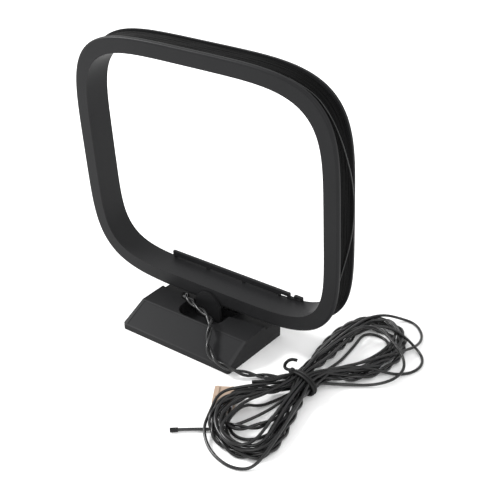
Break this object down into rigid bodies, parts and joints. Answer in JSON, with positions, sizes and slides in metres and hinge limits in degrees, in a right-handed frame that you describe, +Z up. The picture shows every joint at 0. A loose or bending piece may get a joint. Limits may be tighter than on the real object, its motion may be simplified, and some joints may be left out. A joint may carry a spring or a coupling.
{
  "type": "loop antenna",
  "caption": "Rounded rectangular wound loop antenna that folds on a low wedge stand, with a twisted lead, a wire aerial tied in a hank, and a small plug.",
  "frame": {"origin": "middle of the object's box on the surface it stands on, leads left out", "axes": "+Z up, the stand's sloping front panel faces -Y, +X along the stand to the side where the leads lie"},
  "size_m": [0.1421, 0.1141, 0.1156],
  "materials": {
    "loop_plastic": "satin moulded",
    "stand_plastic": "satin moulded",
    "panel_plastic": "fine satin",
    "coil_wire": "thin sheathed wire",
    "steel": "plated",
    "lead_sheath": "soft sheath, low gloss",
    "soft_black": "matt",
    "plug_nylon": "unfilled nylon, warm tan",
    "tin": "tinned"
  },
  "bodies": {
    "stand": {"stand_shell": "stand_plastic", "front_panel": "panel_plastic", "base_cover": "stand_plastic", "base_screws": "steel", "ballast_plates": "steel", "stop_tongue": "stand_plastic", "hinge_pin": "steel", "lead_grommet": "soft_black", "lead_cord": "lead_sheath", "wire_hank": "lead_sheath", "hank_tie": "soft_black", "tie_tail": "soft_black", "aerial_wire_tail": "lead_sheath", "aerial_wire_tip": "soft_black", "aerial_wire_near_loop": "lead_sheath", "aerial_wire_far_loop_1": "lead_sheath", "aerial_wire_far_loop_2": "lead_sheath", "aerial_wire_far_loop_3": "lead_sheath", "plug_housing": "plug_nylon", "plug_contacts": "tin"},
    "loop": {"loop_frame": "loop_plastic", "coil_winding": "coil_wire", "coil_slack_turn": "coil_wire", "coil_end_strip": "loop_plastic", "hinge_bracket": "loop_plastic"}
  },
  "joints": [
    {"name": "loop_fold", "type": "hinge", "parent": "stand", "child": "loop", "pos_m": [0, 0.0145, 0.0099], "axis": [-1, 0, 0], "range_deg": [0, 94]}
  ]
}
